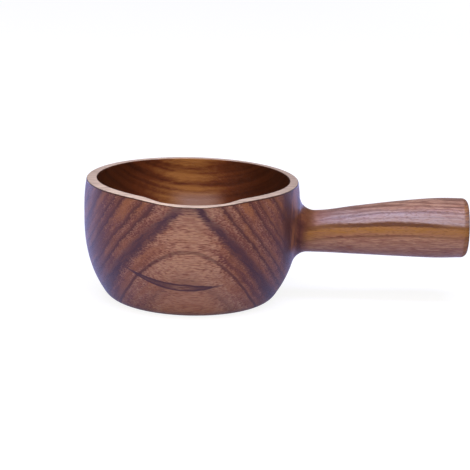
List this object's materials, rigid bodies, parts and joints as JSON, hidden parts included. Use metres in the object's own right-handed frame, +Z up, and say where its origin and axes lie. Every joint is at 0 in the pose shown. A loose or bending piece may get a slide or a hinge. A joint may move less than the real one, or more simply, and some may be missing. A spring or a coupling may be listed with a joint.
{
  "type": "wooden water dipper",
  "caption": "Small wooden dipper: a round hollow bowl on a flat foot, with a shallow pouring lip and a short flared handle doweled to its side.",
  "frame": {"origin": "centre of the flat foot, on the surface that the bowl stands on", "axes": "+Z up out of the bowl, -Y towards the pouring lip, +X along the handle"},
  "size_m": [0.1453, 0.0826, 0.0458],
  "materials": {
    "bowl": "oiled, satin",
    "handle": "oiled, satin",
    "dowel": "raw"
  },
  "bodies": {
    "root": {"bowl": "bowl", "handle": "handle", "handle_dowel": "dowel"}
  },
  "joints": []
}
